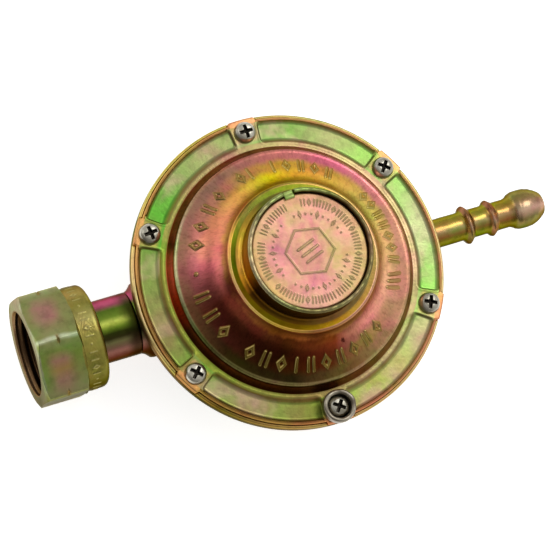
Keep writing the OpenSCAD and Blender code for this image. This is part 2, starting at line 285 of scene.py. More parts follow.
def bonnet_shape(R, H, T):
    deg = np.degrees(T)
    top = (H > LAND - 0.01) & (H < LAND + 0.01) & (R > 29.7)
    # the flange's edge steps in between the lugs
    near = np.min([np.abs(wrap_deg(deg - a)) for a in SCREWS], axis=0) * math.pi / 180 * 37
    edge = 36.6 + 0.75 * (1 - sstep(near, 3.05, 3.4))
    shift = edge - 37.35
    R2 = np.where((R > 36.3) & (H < LAND + 0.01) & (H > SPLIT - 0.01), R + shift, R)
    # pockets between the screws
    mid = np.min([np.abs(wrap_deg(deg - a)) for a in range(0, 360, 60)], axis=0) * math.pi / 180
    half = math.radians(24.4)
    u = R * (mid - half)                       # distance past the pocket's end
    v = np.abs(R - 33.45) - 2.45               # distance past its sides
    c = 0.9
    qx, qy = u + c, v + c
    d = np.hypot(np.maximum(qx, 0), np.maximum(qy, 0)) + np.minimum(np.maximum(qx, qy), 0) - c
    sink = 0.6 * (1 - sstep(d, -0.20, 0.10))
    lip = 0.07 * np.exp(-((d - 0.32) / 0.2) ** 2)
    H2 = np.where(top, H - sink + lip, H)
    # raised marks on the dome, along the dome's own slope
    band = (H > 29.9) & (R > 20.6) & (R < 26.4) & (H > 43.54 - np.sqrt(np.maximum(14.4 ** 2 - (R - 30.91) ** 2, 0)) - 0.01)
    V = (R - 23.6) * 1.12
    field = ring_of_marks(deg, V, 23.6, [m for m in dome_marks if m[0] != "stroke"], 3.7, 0.27)
    field = stroke_field(deg, V, 23.6, field)
    raised = (1 - sstep(field, -0.14, 0.16)) * band
    nx, nz = 30.91 - R, 43.54 - H
    n = np.hypot(nx, nz)
    R2 = R2 + np.where(band, raised * 0.42 * nx / np.maximum(n, 1e-6), 0)
    H2 = H2 + np.where(band, raised * 0.42 * nz / np.maximum(n, 1e-6), 0)
    # breather hole
    hx, hy = 20.7 * math.cos(math.radians(-78)), 20.7 * math.sin(math.radians(-78))
    X, Y = R * np.cos(T), R * np.sin(T)
    pit = 1 - sstep(np.hypot(X - hx, Y - hy), 0.18, 0.5)
    H2 = H2 - np.where((H > 31) & (R > 18), pit * 0.6, 0)
    # notch in the rim for the disc's tab, and a slightly peened rim
    w = np.abs(wrap_deg(deg - 93)) * math.pi / 180 * 14
    notch = 1 - sstep(w, 1.25, 1.45)
    rimtop = (H > 46.1) & (R < 14.7)
    H2 = np.where(rimtop, H2 - notch * (H2 - 46.15), H2)
    wave = 0.05 * np.sin(T * 9 + 1.0) + 0.035 * np.sin(T * 23) + 0.03 * np.sin(T * 41 + 2)
    H2 = np.where((H > 47.2) & (R < 14.7), H2 + (wave - 0.08) * (1 - notch), H2)
    R2 = np.where((H > 46.9) & (R < 13.8), R2 + 0.5 * wave, R2)
    relief = raised
    return R2, H2, {"relief": relief, "sunk": np.where(top, sink / 0.6, 0)}


bonnet = revolve("bonnet_casting", bonnet_profile, 1080, shape=bonnet_shape, sharp=None)

# ------------------------------------------------------------------ body
body_profile = refine(clean(
    [(0.02, 0.0), (18.6, 0.0)] + arc(18.6, 0.75, 0.75, -90, -25, 4) + [(20.3, 1.0), (26.5, 10), (30.2, 17.6), (30.75, 21.9)]
    + arc(31.75, 21.9, 1.0, 180, 90, 4) + [(36.9, 22.9)] + arc(36.9, 23.4, 0.5, -90, 0, 4)
    + arc(36.9, 25.9, 0.5, 0, 90, 5) + [(36.78, 26.4), (36.75, 26.3), (36.72, 25.15), (31.6, 25.15), (31.55, 24.4), (28.4, 24.4), (28.4, 18.5), (24, 10), (17, 2.4), (0.02, 2.4)]),
    lambda m: 1.6 if m[1] > 20 or m[1] < 2 else 1.2)


def body_shape(R, H, T):
    deg = np.degrees(T)
    near = np.min([np.abs(wrap_deg(deg - a)) for a in SCREWS], axis=0) * math.pi / 180 * 37
    notch = 1 - sstep(near, 3.1, 3.35)
    H2 = np.where((R > 36.3) & (H > 25.0), H + notch * np.minimum(0, 25.1 - H), H)
    return R, H2, {"relief": np.zeros(R.shape)}


bowl = revolve("bowl", body_profile, 720, shape=body_shape)
def on_bowl(side, foot, free):
    """Shape for a boss on the X axis: its fillet's foot follows the bowl's sloping side instead of standing at one x."""
    def shape(R, H, T):
        low = sstep(-np.cos(T), -0.2, 0.4)                 # the flare is full only below, clear of the flange
        plain = np.minimum(R, 9.2 if side < 0 else 6.4)
        R2 = np.where(np.abs(H) < free[0] + 0.01, plain + (R - plain) * (0.25 + 0.45 * low), R)
        z = AX + R2 * np.cos(T)
        y = R2 * np.sin(T)
        rb = np.interp(z, [0.0, 1.0, 10.0, 17.6, 21.9, 30.0], [18.6, 20.3, 26.5, 30.2, 30.75, 30.75])
        surf = np.sqrt(np.maximum(rb ** 2 - y ** 2, 1.0))
        move = np.minimum(surf - foot, 1.8) - 0.15
        w = 1 - sstep(np.abs(H), free[1], free[0])
        return R2, side * (np.abs(H) + w * move), {"relief": np.zeros(R.shape)}
    return shape


inlet_boss = revolve("inlet_boss_part", refine(clean(
    [(-37.25, 3.4), (-37.3, 3.6), (-37.3, 7.3), (-37.1, 7.42), (-36.4, 7.7), (-35.8, 8.15), (-35.1, 8.9), (-34.4, 9.05), (-33, 9.1), (-30, 9.2),
     (-28, 9.7), (-26.8, 10.4), (-25.8, 11.4), (-25.0, 11.2), (-24.0, 6.2), (-20, 6.2), (-20, 3.4)]), lambda m: 0.8), 240, axis="x", shape=on_bowl(-1, 25.8, (33.0, 28.0)))
outlet_boss = revolve("outlet_boss_part", refine(clean(
    [(22, 3.7), (22, 5.6), (25.4, 5.7), (26.2, 8.4), (27.2, 8.0), (28.0, 7.1), (29.2, 6.55), (31, 6.4), (35.6, 6.4), (36.1, 6.25), (36.3, 5.9), (36.3, 3.7)]), lambda m: 0.8), 240, axis="x", shape=on_bowl(1, 26.2, (32.0, 28.5)))

bosses = []
for a in SCREWS:
    t = math.radians(a)
    bosses.append(revolve("boss%d" % a, refine(clean([(1.5, 19.5), (2.1, 19.5), (2.4, 19.8), (2.4, 22.2), (2.75, 22.8), (3.0, 23.0), (1.5, 23.0)]), lambda m: 0.6), 48,
                          centre=(34 * math.cos(t), 34 * math.sin(t))))

# ------------------------------------------------------------------ cap disc with its tab
cap_marks = []
for k in range(21):
    at = -72 + 7.6 * k
    cap_marks += [("bar", at - 1.9, 0.5), ("bar", at + 1.9, 0.5)] if k % 4 != 3 else [("lozenge", at, 0.95)]
for k in range(24):
    at = 104 + 7.6 * k
    if k not in (6, 13):
        cap_marks += [("bar", at - 1.9, 0.5), ("bar", at + 1.9, 0.5)] if k % 5 != 4 else [("lozenge", at, 0.95)]
inner_marks = []
for start, stop in ((14, 100), (122, 206), (228, 345)):
    for i, at in enumerate(np.arange(start, stop, 9.2)):
        inner_marks.append((("dot", "dot", "lozenge")[i % 3], at, 0.8))

cap_profile = refine(clean([(0.02, 45.2), (13.2, 45.2), (13.5, 45.4), (13.5, 46.1)] + arc(13.1, 46.1, 0.4, 0, 90, 5) + [(0.02, 46.5)]),
                     lambda m: 2.5 if m[1] < 46.2 else 0.17)


def cap_shape(R, H, T):
    deg = np.degrees(T)
    X, Y = R * np.cos(T), R * np.sin(T)
    top = H > 46.45
    f = ring_of_marks(deg, R - 11.3, 11.3, cap_marks, 1.6, 0.115)
    f = np.minimum(f, ring_of_marks(deg, R - 8.6, 8.6, inner_marks, 1.7, 0.12))
    # a plain six-sided outline with three short bars in it
    a = math.radians(20)
    U, V = X * math.cos(a) + Y * math.sin(a), -X * math.sin(a) + Y * math.cos(a)
    hexd = np.max([np.abs(U * math.cos(k * math.pi / 3) + V * math.sin(k * math.pi / 3)) for k in range(3)], axis=0)
    f = np.minimum(f, np.abs(hexd - 5.0) - 0.18)
    for y in (-1.7, 0, 1.7):
        f = np.minimum(f, d_seg(U, V, -2.2, y, 2.2, y, 0.26))
    raised = (1 - sstep(f, -0.1, 0.14)) * top
    # a shallow dish and soft uneven pressing
    dish = 0.05 * sstep(R, 11.0, 13.0) - 0.035 * np.sin(X * 0.55 + 0.7) * np.sin(Y * 0.5)
    H2 = H + np.where(top, raised * 0.14 + dish, 0)
    return R, H2, {"relief": raised}


cap = revolve("cap_face", cap_profile, 900, shape=cap_shape)

# tab over the rim's notch
tab_pts, tn = [], 9
sec = clean([(-1.15, 46.25), (1.15, 46.25), (1.2, 46.35), (1.2, 47.0)] + arc(0.95, 47.0, 0.25, 0, 90, 3) + arc(-0.95, 47.0, 0.25, 90, 180, 3) + [(-1.2, 46.35)])
t93 = math.radians(93)
for i in range(tn):
    rr = 12.65 + (14.42 - 12.65) * i / (tn - 1)
    drop = 0.0 if i < tn - 2 else 0.1 * (i - tn + 2)
    row = []
    for (w, z) in sec:
        zz = 46.25 + (z - 46.25) * (1 - drop) * (0.86 + 0.14 * math.sin(i * 0.8))
        k = 1 - 0.05 * (i == tn - 1)
        row.append((rr * math.cos(t93) - w * k * math.sin(t93), rr * math.sin(t93) + w * k * math.cos(t93), zz))
    tab_pts.append(row)
tab_pts = np.array(tab_pts)
ns = len(sec)
tv = tab_pts.reshape(-1, 3)
tv = np.concatenate([tv, [tab_pts[0].mean(0), tab_pts[-1].mean(0)]])
j = np.arange(ns)
tt = [np.stack([(j + 1) % ns, j, np.full(ns, len(tv) - 2)], -1),
      np.stack([(tn - 1) * ns + j, (tn - 1) * ns + (j + 1) % ns, np.full(ns, len(tv) - 1)], -1)]
tab = mesh_object("cap_tab", tv, grid_faces(tn, ns, False, True, flip=True), np.concatenate(tt), {"relief": np.zeros(len(tv))}, sharp=50)


# ------------------------------------------------------------------ screws
def screw(at, base, turn, tilt=0.0):
    t = math.radians(at)
    head = clean([(0.02, base + 1.78)] + [(0.35, base + 1.775), (1.1, base + 1.72), (1.6, base + 1.6), (2.0, base + 1.38), (2.3, base + 1.05), (2.5, base + 0.62), (2.6, base + 0.28), (2.6, base + 0.08), (2.52, base)]
                 + [(1.42, base), (1.42, base - 6.6), (1.1, base - 7), (0.02, base - 7)])
    prof = refine(head, lambda m: 0.09 if m[1] > base + 0.5 else 1.2)

    def shape(R, H, T):
        X, Y = R * np.cos(T - turn), R * np.sin(T - turn)
        arm = np.minimum(d_box(X, Y, 1.62, 0.40, 0.1), d_box(X, Y, 0.40, 1.62, 0.1))
        arm = np.minimum(arm, d_box(X * .7071 + Y * .7071, -X * .7071 + Y * .7071, 0.66, 0.66, 0.1))
        inside = 1 - sstep(arm, -0.22, 0.05)
        top = H > base + 0.9
        taper = np.clip(1.25 - 0.35 * R, 0.45, 1.2)
        H2 = H - np.where(top, inside * taper, 0)
        H2 = H2 + np.where(top, tilt * Y, 0)
        return R, H2, {"relief": np.where(top, inside, 0)}

    return revolve("screw%d" % at, prof, 168, shape=shape, centre=(34 * math.cos(t), 34 * math.sin(t)))


turns = {30: 0.40, 90: 0.02, 150: 0.62, 210: 0.28, 270: 0.95, 330: 0.10}
screws = [screw(a, LAND + (0.6 if a == CUP else 0.0), turns[a] + math.radians(a)) for a in SCREWS]

# seal cup round the last screw, with a rolled lip
tc = math.radians(CUP)
cup_profile = refine(clean([(1.62, 27.2), (3.55, 27.2), (3.75, 27.35), (3.85, 27.7), (3.9, 28.4)] + arc(3.35, 29.6, 0.55, 0, 180, 12)
                     + [(2.72, 28.2), (2.66, 27.8), (1.62, 27.8)]), lambda m: 0.22)


def cup_shape(R, H, T):
    wav = 0.05 * np.sin(T * 3 + 0.5) + 0.03 * np.sin(T * 7)
    return np.where(H > 29, R + wav * 0.8, R), np.where(H > 29, H + wav, H), {"relief": np.zeros(R.shape)}


cup = revolve("cup_part", cup_profile, 144, shape=cup_shape, centre=(34 * math.cos(tc), 34 * math.sin(tc)))

# ------------------------------------------------------------------ inlet nut
NUT_TURN = math.radians(2)


def nut_profile():
    p = [(-56.2, 10.03), (-63.05, 10.1), (-63.1, 10.45), (-63.1, 11.0), (-63.1, 12.6)]
    p += [(-63.0, 12.95), (-62.9, 13.2), (-62.2, 14.6), (-61.0, 15), (-59.4, 15), (-58.6, 15), (-57.7, 15), (-56.8, 15), (-55.6, 15), (-53.4, 15), (-53.1, 14.6), (-52.35, 12.9), (-52.3, 12.7)]
    p += [(-52.2, 12.32), (-51.9, 12.3), (-48.4, 12.3)] + arc(-48.3, 10.8, 1.5, 90, 0, 6)[1:] + [(-46.8, 10.7), (-46.8, 7.75), (-47.0, 7.55), (-51.4, 7.55), (-51.5, 7.7), (-51.5, 10.3), (-56.1, 10.3)]
    return refine(clean(p), lambda m: 0.16 if (m[1] > 11.5 or m[0] < -56) else 0.6)


nut_marks = [(("bar", "dot", "bar", "bar", "lozenge")[i % 5], a, 1.2) for i, a in enumerate(range(6, 360, 9))]


def smin(a, b, k):
    h = np.clip(0.5 + 0.5 * (b - a) / k, 0, 1)
    return b + (a - b) * h - k * h * (1 - h)


def nut_shape(R, H, T):
    deg = np.degrees(T - NUT_TURN)
    in_hex = (H < -52.32) & (R > 12.5)
    face = np.abs(wrap_deg((deg % 60) - 30)) * math.pi / 180
    # corners sit at 0, 60, ...: faces are half way between
    hexr = 12.5 / np.cos(face)
    cone = np.minimum(12.62 + (H + 63.1) * 2.05, 12.72 + (-52.3 - H) * 2.05)
    body = smin(hexr, np.full(H.shape, 14.34), 0.42)
    body = smin(body, cone, 0.16)
    # a V notch round the corners
    notch = 13.62 + np.abs(H + 57.7) * 2.6
    near_corner = 1 - sstep(face, math.radians(16), math.radians(20))
    body = smin(body, notch + 0.02, 0.12)
    soft = 0.03 * np.sin(T * 5 + H) * np.sin(H * 1.3)
    R2 = np.where(in_hex, np.minimum(body + soft * 0.5, np.where(R >= 14.9, 99, R + 0.4)), R)
    # thread inside the mouth, left hand
    bore = (H < -56.15) & (R < 10.3) & (H > -63.0)
    pitch = 1.814
    ph = ((H + 63.1) / pitch - T / (2 * math.pi)) % 1
    tri = 1 - np.abs(ph - 0.5) * 2
    ridge = sstep(tri, 0.22, 0.78) * 0.5
    fade = sstep(H, -63.0, -61.9)
    R2 = np.where(bore, R - ridge * fade, R2)
    # small marks round the collar
    collar = (H > -51.6) & (H < -48.5) & (R > 12.2)
    f = ring_of_marks(deg % 360, H + 50.2, 12.3, nut_marks, 1.9, 0.15)
    raised = (1 - sstep(f, -0.1, 0.14)) * collar
    R2 = R2 + raised * 0.09 + collar * 0.02 * np.sin(deg * 0.9 + 3 * np.sin(H * 2.1)) * np.sin(H * 4.4)
    groove = in_hex * near_corner * 0
    edge = np.exp(-((H + 57.7) / 0.42) ** 2) * in_hex * sstep(hexr, 13.75, 14.0)
    return R2, H, {"relief": raised, "edge": edge + groove}


nut = revolve("nut_part", nut_profile(), 720, axis="x", shape=nut_shape)

# ------------------------------------------------------------------ inlet stem
nipple = revolve("stem_part", refine(clean(
    [(-54.6, 3.25), (-54.6, 8.5), (-54.4, 8.8), (-51.9, 8.8), (-51.6, 8.6), (-51.6, 7.47), (-37.3, 7.47), (-37.3, 7.3), (-37.3, 6.2), (-24.1, 6.2), (-24.0, 3.2)]), lambda m: 0.5), 240, axis="x")

# ------------------------------------------------------------------ hose barb
barb_profile = refine(clean(
    [(26, 2.2), (26, 3.4), (26.15, 3.54), (47.0, 3.54), (47.45, 3.58), (47.75, 3.75), (48.45, 4.6)] + arc(48.8, 4.5, 0.24, 140, 30, 4)
    + [(49.3, 4.4), (49.9, 3.78), (50.2, 3.6), (50.8, 3.54), (53.5, 3.54), (53.9, 3.62), (54.2, 3.78), (54.85, 4.42)] + arc(55.12, 4.28, 0.22, 140, 30, 4)
    + [(55.6, 4.2), (56.2, 3.76), (56.5, 3.6), (57.0, 3.54), (59.6, 3.54), (60.2, 3.66), (60.8, 3.92), (61.4, 4.38), (62.2, 4.66), (63, 4.75), (64.6, 4.75), (65.6, 4.62),
       (66.7, 4.3), (67.8, 3.75), (68.6, 3.2), (69.1, 2.75), (69.28, 2.45), (69.3, 2.35), (69.1, 2.2)]), lambda m: 0.25)


def barb_shape(R, H, T):
    hammered = 0.008 * np.sin(T * 4 + H * 0.9) + 0.006 * np.sin(T * 9 - H * 1.7) + 0.03 * (H > 60.5) * np.sin(T * 6 + H * 1.9) * np.sin(H * 2.3 + 1)
    return np.where((R > 3.3) & (H > 37), R + hammered - 0.015, R), H, {"relief": np.zeros(R.shape)}


barb = revolve("barb_part", barb_profile, 240, axis="x", shape=barb_shape)


# ------------------------------------------------------------------ materials
def lin(c):
    out = []
    for v in c:
        v = max(0.0, min(1.0, v / 255.0))
        out.append(v / 12.92 if v <= 0.04045 else ((v + 0.055) / 1.055) ** 2.4)
    return tuple(out) + (1.0,)


class Net:
    """A few short calls for building a node tree."""

    def __init__(self, name):
        self.mat = bpy.data.materials.new(name)
        self.mat.use_nodes = True
        self.t = self.mat.node_tree
        self.t.nodes.clear()
        self.out = self.t.nodes.new("ShaderNodeOutputMaterial")
        self.bsdf = self.t.nodes.new("ShaderNodeBsdfPrincipled")
        self.t.links.new(self.bsdf.outputs[0], self.out.inputs[0])
        co = self.t.nodes.new("ShaderNodeTexCoord")
        self.pos = co.outputs["Object"]
        sep = self.t.nodes.new("ShaderNodeSeparateXYZ")
        self.link(self.pos, sep.inputs[0])
        self.x, self.y, self.z = sep.outputs

    def link(self, a, b):
        self.t.links.new(a, b)

    def put(self, socket, v):
        if hasattr(v, "is_linked") or hasattr(v, "links"):
            self.link(v, socket)
        else:
            socket.default_value = v

    def math(self, op, a, b=0.0, c=0.0, clamp=False):
        n = self.t.nodes.new("ShaderNodeMath")
        n.operation = op
        n.use_clamp = clamp
        for s, v in zip(n.inputs, (a, b, c)):
            self.put(s, v)
        return n.outputs[0]

    def noise(self, scale, detail=3.0, rough=0.55, vec=None, stretch=None, distort=0.0):
        vec = vec or self.pos
        if stretch:
            m = self.t.nodes.new("ShaderNodeMapping")
            self.link(vec, m.inputs[0])
            m.inputs["Scale"].default_value = stretch
            vec = m.outputs[0]
        n = self.t.nodes.new("ShaderNodeTexNoise")
        self.link(vec, n.inputs["Vector"])
        n.inputs["Scale"].default_value = scale
        n.inputs["Detail"].default_value = detail
        n.inputs["Roughness"].default_value = rough
        n.inputs["Distortion"].default_value = distort
        return n.outputs["Fac"]

    def ramp(self, fac, stops, ease="LINEAR"):
        n = self.t.nodes.new("ShaderNodeValToRGB")
        n.color_ramp.interpolation = ease
        el = n.color_ramp.elements
        while len(el) < len(stops):
            el.new(0.5)
        for e, (p, c) in zip(el, sorted(stops, key=lambda s: s[0])):
            e.position = p
            e.color = c
        self.link(fac, n.inputs[0])
        return n.outputs[0]

    def grey(self, fac, stops):
        return self.ramp(fac, [(p, (v, v, v, 1)) for p, v in stops])

    def span(self, v, a, b, lo=0.0, hi=1.0, smooth=True):
        n = self.t.nodes.new("ShaderNodeMapRange")
        n.interpolation_type = "SMOOTHSTEP" if smooth else "LINEAR"
        self.put(n.inputs[0], v)
        for s, k in zip(n.inputs[1:5], (a, b, lo, hi)):
            s.default_value = k
        return n.outputs[0]

    def mix(self, fac, a, b, mode="MIX"):
        n = self.t.nodes.new("ShaderNodeMix")
        n.data_type = "RGBA"
        n.blend_type = mode
        n.clamp_result = False
        self.put(n.inputs[0], fac)
        self.put(n.inputs[6], a)
        self.put(n.inputs[7], b)
        return n.outputs[2]

    def attr(self, name):
        n = self.t.nodes.new("ShaderNodeAttribute")
        n.attribute_name = name
        return n.outputs["Fac"]

    def vec(self, x, y, z):
        n = self.t.nodes.new("ShaderNodeCombineXYZ")
        for s, v in zip(n.inputs, (x, y, z)):
            self.put(s, v)
        return n.outputs[0]

    def bump(self, height, strength, dist):
        n = self.t.nodes.new("ShaderNodeBump")
        n.inputs["Strength"].default_value = strength
        n.inputs["Distance"].default_value = dist
        self.link(height, n.inputs["Height"])
        self.link(n.outputs[0], self.bsdf.inputs["Normal"])

    def turn(self, a, b, wobble=0.0, noise=None):
        """0 to 1 round a circle from the angle of (b, a)."""
        f = self.math("DIVIDE", self.math("ARCTAN2", a, b), 2 * math.pi)
        if noise is not None:
            f = self.math("ADD", f, self.math("MULTIPLY", self.math("SUBTRACT", noise, 0.5), wobble))
        return self.math("FRACT", self.math("ADD", f, 1.0))

    def finish(self, color, metallic, rough, ior=None, coat=None):
        self.put(self.bsdf.inputs["Base Color"], color)
        self.put(self.bsdf.inputs["Metallic"], metallic)
        self.put(self.bsdf.inputs["Roughness"], rough)
        if coat:
            self.bsdf.inputs["Coat Weight"].default_value = coat[0]
            self.bsdf.inputs["Coat Roughness"].default_value = coat[1]
        return self.mat


def angle_stops(table):
    """(degrees, colour) pairs to ramp stops that close up round the circle."""
    s = sorted((d / 360.0, lin(c)) for d, c in table)
    if s[0][0] > 0.001:
        a, b = s[-1], s[0]
        gap = b[0] + 1 - a[0]
        k = (1 - a[0]) / gap
        mid = tuple(a[1][i] + (b[1][i] - a[1][i]) * k for i in range(4))
        s = [(0.0, mid)] + s + [(1.0, mid)]
    else:
        s = s + [(1.0, s[0][1])]
    return s


def rings_color(net, fac, r, rings, wobble):
    """Colours that change round the circle, blended from one radius to the next. rings run inwards: (from, to, table)."""
    col = None
    for lo, hi, table in rings:
        c = net.ramp(fac, angle_stops(table))
        col = c if col is None else net.mix(net.span(r, lo, hi), c, col)
    return col


# bonnet: yellow chromate over zinc, which runs gold, pink and green with the film's thickness; the colours round the
# circle also hold painted reflections, painted highlights and painted shade
def bonnet_material():
    n = Net("chromate_bonnet_with_painted_light")
    xy = n.vec(n.x, n.y, 0.0)
    vl = n.t.nodes.new("ShaderNodeVectorMath")
    vl.operation = "LENGTH"
    n.link(xy, vl.inputs[0])
    r = n.math("MULTIPLY", vl.outputs["Value"], 1000.0)
    soft = n.noise(75, 3, 0.55)
    fine = n.noise(260, 4, 0.6)
    broad = n.noise(34, 2, 0.5)
    fac = n.turn(n.y, n.x, 0.035, soft)
    th = n.math("MULTIPLY", n.turn(n.y, n.x), 2 * math.pi)
    # streaks that run in and out across the dome
    sv = n.vec(n.math("MULTIPLY", n.math("COSINE", th), 1.0), n.math("MULTIPLY", n.math("SINE", th), 1.0), n.math("MULTIPLY", r, 0.02))
    streak = n.noise(9.0, 4, 0.6, vec=sv)
    rr = n.math("ADD", r, n.math("MULTIPLY", n.math("SUBTRACT", broad, 0.5), 2.2))
    rr = n.math("ADD", rr, n.math("MULTIPLY", n.math("SUBTRACT", streak, 0.5), 1.6))
    # colours round the circle, given as a few round stops to each ring
    # each ring mixes the film's colour with painted light: painted highlights and glints on some sides, painted shade
    # from about 185 to 270 degrees
    edge = [(0, (220, 170, 120)), (60, (220, 180, 120)), (120, (210, 170, 100)), (180, (220, 180, 110)), (215, (190, 160, 80)), (260, (200, 160, 90)), (320, (220, 160, 120))]
    pocket = [(0, (170, 180, 140)), (30, (130, 180, 90)), (55, (150, 160, 110)), (80, (90, 160, 60)), (110, (150, 150, 110)), (140, (90, 160, 60)), (185, (140, 140, 90)), (210, (110, 150, 60)), (235, (140, 140, 90)), (260, (120, 150, 60)), (285, (150, 180, 80)), (305, (170, 170, 110)), (335, (150, 190, 110))]
    land = [(0, (180, 160, 130)), (60, (150, 140, 100)), (110, (150, 130, 100)), (160, (140, 150, 70)), (210, (130, 140, 60)), (260, (130, 130, 70)), (300, (160, 150, 110))]
    wall = [(0, (240, 180, 160)), (60, (230, 160, 140)), (110, (210, 140, 100)), (145, (160, 90, 60)), (165, (240, 110, 90)), (180, (240, 80, 40)), (195, (100, 50, 20)), (250, (90, 50, 10)), (285, (170, 130, 80)), (320, (230, 180, 150))]
    crest = [(0, (230, 160, 150)), (60, (210, 130, 140)), (110, (180, 120, 100)), (150, (190, 180, 150)), (170, (210, 210, 170)), (200, (100, 110, 60)), (230, (130, 120, 80)), (280, (160, 150, 100)), (320, (220, 170, 150))]
    low = [(0, (230, 170, 150)), (45, (220, 120, 150)), (80, (210, 130, 130)), (120, (160, 130, 110)), (160, (190, 130, 120)), (185, (120, 80, 60)), (215, (60, 50, 20)), (250, (50, 40, 20)), (285, (130, 110, 60)), (320, (230, 160, 150))]
    middle = [(0, (240, 200, 140)), (45, (230, 190, 90)), (80, (220, 180, 70)), (120, (200, 140, 120)), (165, (190, 120, 120)), (190, (120, 60, 50)), (235, (60, 30, 10)), (270, (100, 50, 20)), (300, (190, 150, 100)), (325, (240, 170, 160))]
    upper = [(0, (240, 200, 140)), (30, (200, 180, 100)), (60, (230, 200, 80)), (90, (220, 200, 40)), (130, (220, 160, 110)), (165, (220, 130, 130)), (190, (110, 50, 40)), (240, (60, 30, 10)), (275, (120, 60, 30)), (310, (230, 150, 150)), (335, (240, 190, 160))]
    near = [(0, (240, 200, 140)), (50, (220, 200, 110)), (100, (190, 170, 40)), (150, (230, 170, 110)), (185, (150, 90, 60)), (230, (100, 60, 20)), (270, (160, 90, 50)), (320, (230, 180, 130))]
    ridge = [(0, (200, 170, 120)), (60, (190, 150, 90)), (100, (120, 110, 50)), (130, (110, 110, 40)), (150, (230, 180, 90)), (190, (240, 220, 140)), (230, (220, 190, 80)), (260, (150, 100, 70)), (320, (190, 150, 130))]
    band = [(0, (120, 110, 62)), (60, (122, 120, 40)), (95, (100, 118, 30)), (126, (110, 120, 50)), (150, (108, 120, 22)), (170, (92, 112, 12)), (184, (120, 120, 10)), (205, (130, 118, 10)), (230, (120, 102, 10)), (255, (130, 102, 12)),
            (280, (150, 120, 24)), (300, (150, 122, 52)), (330, (130, 110, 62))]
    neck = [(0, (130, 120, 80)), (60, (120, 110, 60)), (110, (110, 110, 50)), (145, (200, 170, 60)), (170, (240, 180, 90)), (183, (240, 180, 50)), (200, (80, 60, 10)), (250, (100, 70, 20)), (290, (130, 110, 60)), (330, (120, 120, 80))]
    col = rings_color(n, fac, rr, [(36.7, 36.0, edge)], 0)
    for lo, hi, table in ((36.05, 35.85, pocket), (31.15, 30.75, land), (29.62, 29.45, wall), (28.25, 28.1, crest), (27.75, 27.2, low), (26.0, 24.0, middle), (23.4, 21.2, upper), (18.8, 18.0, near), (17.66, 17.58, ridge), (17.12, 16.98, band), (16.1, 15.7, neck)):
        c = n.ramp(fac, angle_stops(table))
        use = rr if lo < 27 and lo > 18 else r
        col = n.mix(n.span(use, lo, hi), col, c)
    zz = n.math("MULTIPLY", n.z, 1000.0)
    # the neck rim's colours round the circle hold painted highlights and painted shade too
    rim_tab = [(0, (120, 112, 80)), (40, (98, 88, 54)), (90, (150, 160, 110)), (130, (140, 136, 104)), (170, (176, 168, 130)), (210, (126, 130, 96)), (250, (112, 112, 70)), (290, (132, 130, 92)), (330, (120, 112, 78))]
    rim_zone = n.math("MAXIMUM", n.span(zz, 46.9, 47.35), n.span(r, 14.3, 14.15))
    col = n.mix(rim_zone, col, n.ramp(fac, angle_stops(rim_tab)))
    # land between the pockets: salmon lugs
    sunk = n.attr("sunk")
    on_lug = n.math("MULTIPLY", n.grey(n.math("FRACT", n.math("MULTIPLY", n.turn(n.y, n.x), 6.0)), [(0.0, 0), (0.395, 0), (0.44, 1), (0.56, 1), (0.605, 0), (1.0, 0)]), n.span(r, 31.2, 32.4))
    on_lug = n.math("MULTIPLY", on_lug, n.math("SUBTRACT", 1.0, sunk))
    col = n.mix(n.math("MULTIPLY", on_lug, 0.5), col, lin((214, 150, 112)))
    # the pockets' step walls are painted brown: painted shade along the step
    pocket_wall_shade = n.grey(sunk, [(0.0, 0), (0.12, 1), (0.8, 1), (0.98, 0), (1.0, 0)])
    col = n.mix(n.math("MULTIPLY", pocket_wall_shade, 0.4), col, lin((140, 92, 50)))
    # film mottling
    patch = n.noise(70, 3, 0.6, distort=0.4)
    in_pocket = n.math("MULTIPLY", n.span(r, 36.0, 35.8), n.span(r, 30.9, 31.1))
    col = n.mix(n.math("MULTIPLY", in_pocket, n.grey(patch, [(0.50, 0.0), (0.62, 0.6)])), col, lin((180, 160, 140)))
    mott = n.ramp(n.noise(130, 4, 0.62), [(0.28, (0.80, 1.0, 0.70, 1)), (0.45, (0.98, 0.98, 0.86, 1)), (0.56, (1.0, 0.86, 0.88, 1)), (0.74, (1.0, 0.70, 0.86, 1))])
    col = n.mix(0.75, col, mott, "MULTIPLY")
    drift = n.ramp(n.noise(52, 3, 0.62, distort=0.8), [(0.34, (0.74, 1.0, 0.58, 1)), (0.46, (1.0, 0.98, 0.84, 1)), (0.54, (1.0, 0.94, 0.86, 1)), (0.66, (1.0, 0.72, 0.86, 1))])
    col = n.mix(0.95, col, drift, "MULTIPLY")
    brush = n.noise(46.0, 4, 0.6, vec=sv)
    on_dome = n.math("MULTIPLY", n.span(r, 29.6, 29.0), n.span(r, 17.6, 18.4))
    col = n.mix(on_dome, col, n.mix(1.0, col, n.ramp(brush, [(0.32, (0.74, 0.70, 0.66, 1)), (0.5, (0.95, 0.95, 0.95, 1)), (0.68, (1.0, 1.0, 0.95, 1))]), "MULTIPLY"))
    dark = n.grey(n.noise(420, 3, 0.6), [(0.30, 0.80), (0.5, 1.0), (1.0, 1.0)])
    col = n.mix(1.0, col, dark, "MULTIPLY")
